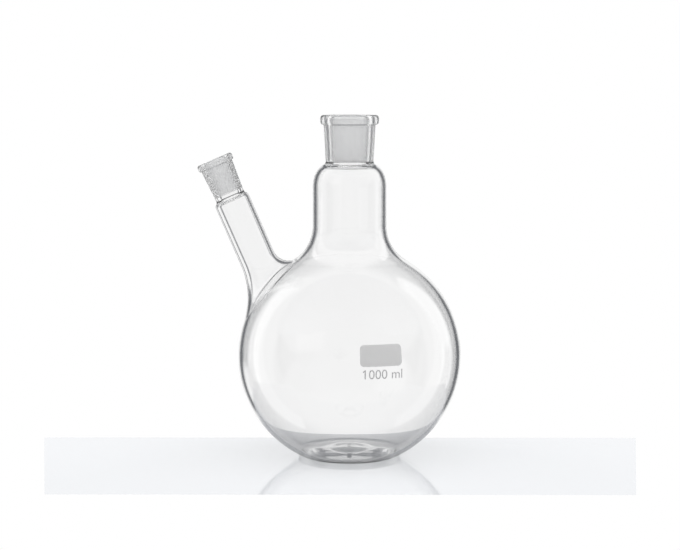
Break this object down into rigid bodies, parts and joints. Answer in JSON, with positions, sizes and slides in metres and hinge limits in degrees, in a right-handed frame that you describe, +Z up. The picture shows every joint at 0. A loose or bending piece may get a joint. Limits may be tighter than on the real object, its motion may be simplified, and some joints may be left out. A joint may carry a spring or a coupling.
{
  "type": "two-neck flask",
  "caption": "Laboratory flask with a round bulb on a flattened base, an upright ground socket, a slanted side neck with a smaller socket, a marking field and a capacity print.",
  "frame": {"origin": "middle of the flat base, on the centre neck's axis", "axes": "+Z up along the centre neck, the side neck leans towards -X, the prints face -Y"},
  "size_m": [0.1544, 0.1312, 0.2012],
  "materials": {
    "clear_glass": "gloss",
    "ground_glass": "satin",
    "marking_field_enamel": "matte",
    "print_enamel": "matte"
  },
  "bodies": {
    "root": {"bulb": "clear_glass", "centre_neck": "clear_glass", "centre_socket": "ground_glass", "side_neck": "clear_glass", "side_socket": "ground_glass", "marking_spot": "marking_field_enamel", "capacity_digit_1": "print_enamel", "capacity_digit_2": "print_enamel", "capacity_digit_3": "print_enamel", "capacity_digit_4": "print_enamel", "capacity_letter_m": "print_enamel", "capacity_letter_l": "print_enamel"}
  },
  "joints": []
}
